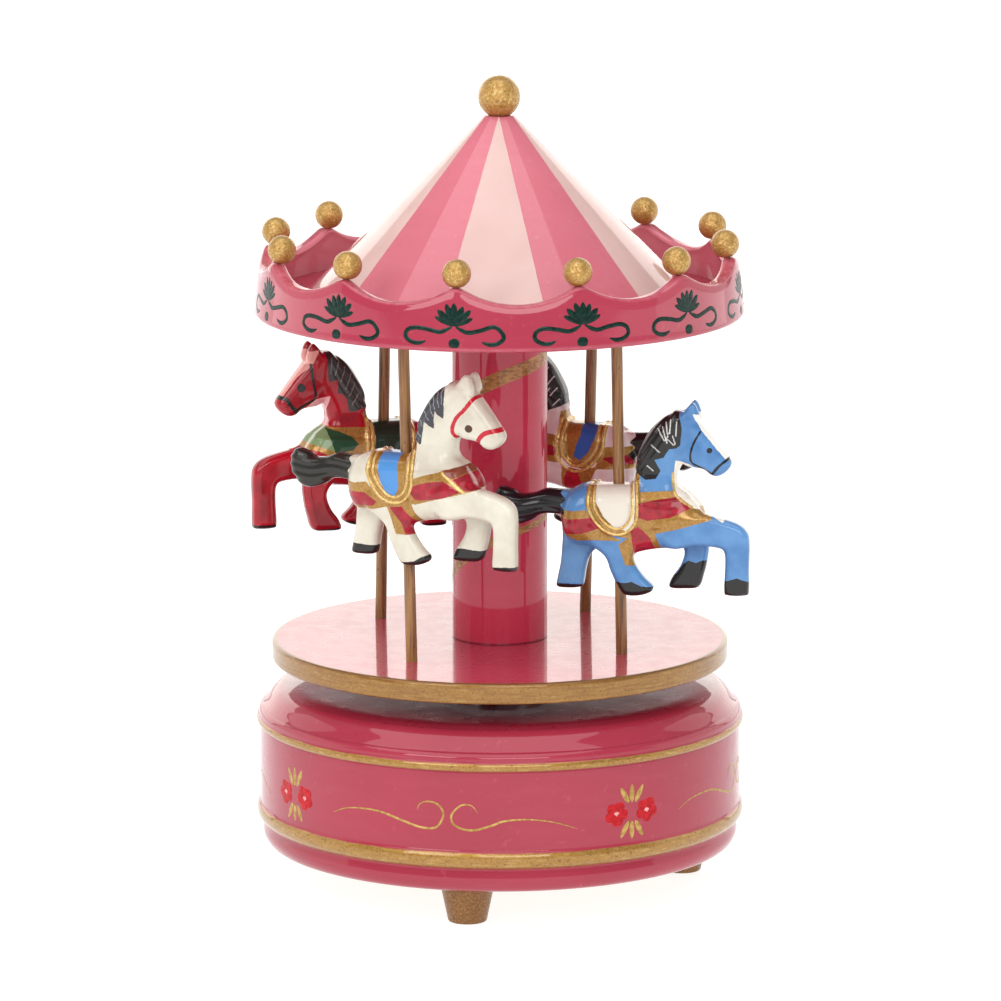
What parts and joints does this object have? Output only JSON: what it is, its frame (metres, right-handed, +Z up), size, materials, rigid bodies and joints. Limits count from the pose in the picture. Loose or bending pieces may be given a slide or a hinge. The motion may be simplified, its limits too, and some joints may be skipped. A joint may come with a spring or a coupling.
{
  "type": "carousel music box",
  "caption": "Wind-up wooden music box with a turning carousel: painted drum base on feet, platform, column, poles with moulded horses, scalloped canopy with balls and a striped conical roof.",
  "frame": {"origin": "middle of the footprint, on the plane that the feet stand on", "axes": "+Z up, -Y is the front, +X is to the right seen from the front"},
  "size_m": [0.1107, 0.108, 0.18],
  "materials": {
    "pink_lacquer": "glossy pink lacquer over turned wood, gold beads and edges",
    "striped_lacquer": "glossy lacquer in pink and cream stripes",
    "bare_wood": "plain board",
    "gold_paint": "metallic gold paint over turned wood",
    "bronze_paint": "speckled bronze paint over turned wood",
    "stained_dowel": "stained dowel",
    "white_horse": "glossy hand-painted moulded plastic",
    "blue_horse": "glossy hand-painted moulded plastic",
    "red_horse": "glossy hand-painted moulded plastic",
    "steel": "bright steel",
    "dark_screw": "dark oiled steel",
    "brass": "plain brass",
    "zinc": "cast metal with a light machined face",
    "nylon": "moulded plastic"
  },
  "bodies": {
    "base": {"base_shell": "pink_lacquer", "bottom_board": "bare_wood", "board_screws": "steel", "foot_1": "bronze_paint", "foot_2": "bronze_paint", "foot_3": "bronze_paint", "foot_screws": "steel", "bedplate": "zinc", "bedplate_screws": "steel", "spindle_bush": "brass", "spring_barrel": "zinc", "barrel_lid": "zinc", "mainspring": "steel", "barrel_bridge": "zinc", "bridge_posts": "brass", "bridge_screws": "steel", "inner_bracket": "zinc", "outer_bracket": "zinc", "comb_block": "zinc", "comb": "steel", "comb_screws": "steel", "governor_bracket": "brass"},
    "carousel": {"platform": "pink_lacquer", "column": "pink_lacquer", "canopy_floor": "pink_lacquer", "crown_ring": "pink_lacquer", "roof_cone": "striped_lacquer", "finial": "gold_paint", "turn_plate": "steel", "turn_plate_screws": "dark_screw", "spindle": "steel", "crown_wheel": "brass", "pole_1": "stained_dowel", "pole_2": "stained_dowel", "pole_3": "stained_dowel", "pole_4": "stained_dowel", "horse_1": "white_horse", "horse_2": "blue_horse", "horse_3": "white_horse", "horse_4": "red_horse", "ball_1": "gold_paint", "ball_2": "gold_paint", "ball_3": "gold_paint", "ball_4": "gold_paint", "ball_5": "gold_paint", "ball_6": "gold_paint", "ball_7": "gold_paint", "ball_8": "gold_paint", "ball_9": "gold_paint", "ball_10": "gold_paint", "ball_11": "gold_paint", "ball_12": "gold_paint"},
    "cylinder_group": {"cylinder": "brass", "cylinder_pins": "steel", "cylinder_arbor": "steel", "cylinder_wheel": "brass"},
    "governor_group": {"governor_arbor": "steel", "worm_wheel": "brass"},
    "fly_group": {"worm": "steel", "fly": "nylon"}
  },
  "joints": [
    {"name": "carousel_spin", "type": "hinge", "parent": "base", "child": "carousel", "pos_m": [0, 0, 0.0502], "axis": [0, 0, 1], "continuous": true},
    {"name": "cylinder_spin", "type": "hinge", "parent": "base", "child": "cylinder_group", "pos_m": [0.0257, 0, 0.0278], "axis": [-1, 0, 0], "continuous": true},
    {"name": "governor_spin", "type": "hinge", "parent": "base", "child": "governor_group", "pos_m": [0.031, 0.0108, 0.0278], "axis": [-1, 0, 0], "continuous": true},
    {"name": "fly_spin", "type": "hinge", "parent": "base", "child": "fly_group", "pos_m": [0.027, 0.0148, 0.025], "axis": [0, 0, 1], "continuous": true}
  ],
  "couplings": [
    {"joint": "cylinder_spin", "follows": "carousel_spin", "ratio": 4},
    {"joint": "governor_spin", "follows": "carousel_spin", "ratio": -12},
    {"joint": "fly_spin", "follows": "carousel_spin", "ratio": -216}
  ]
}
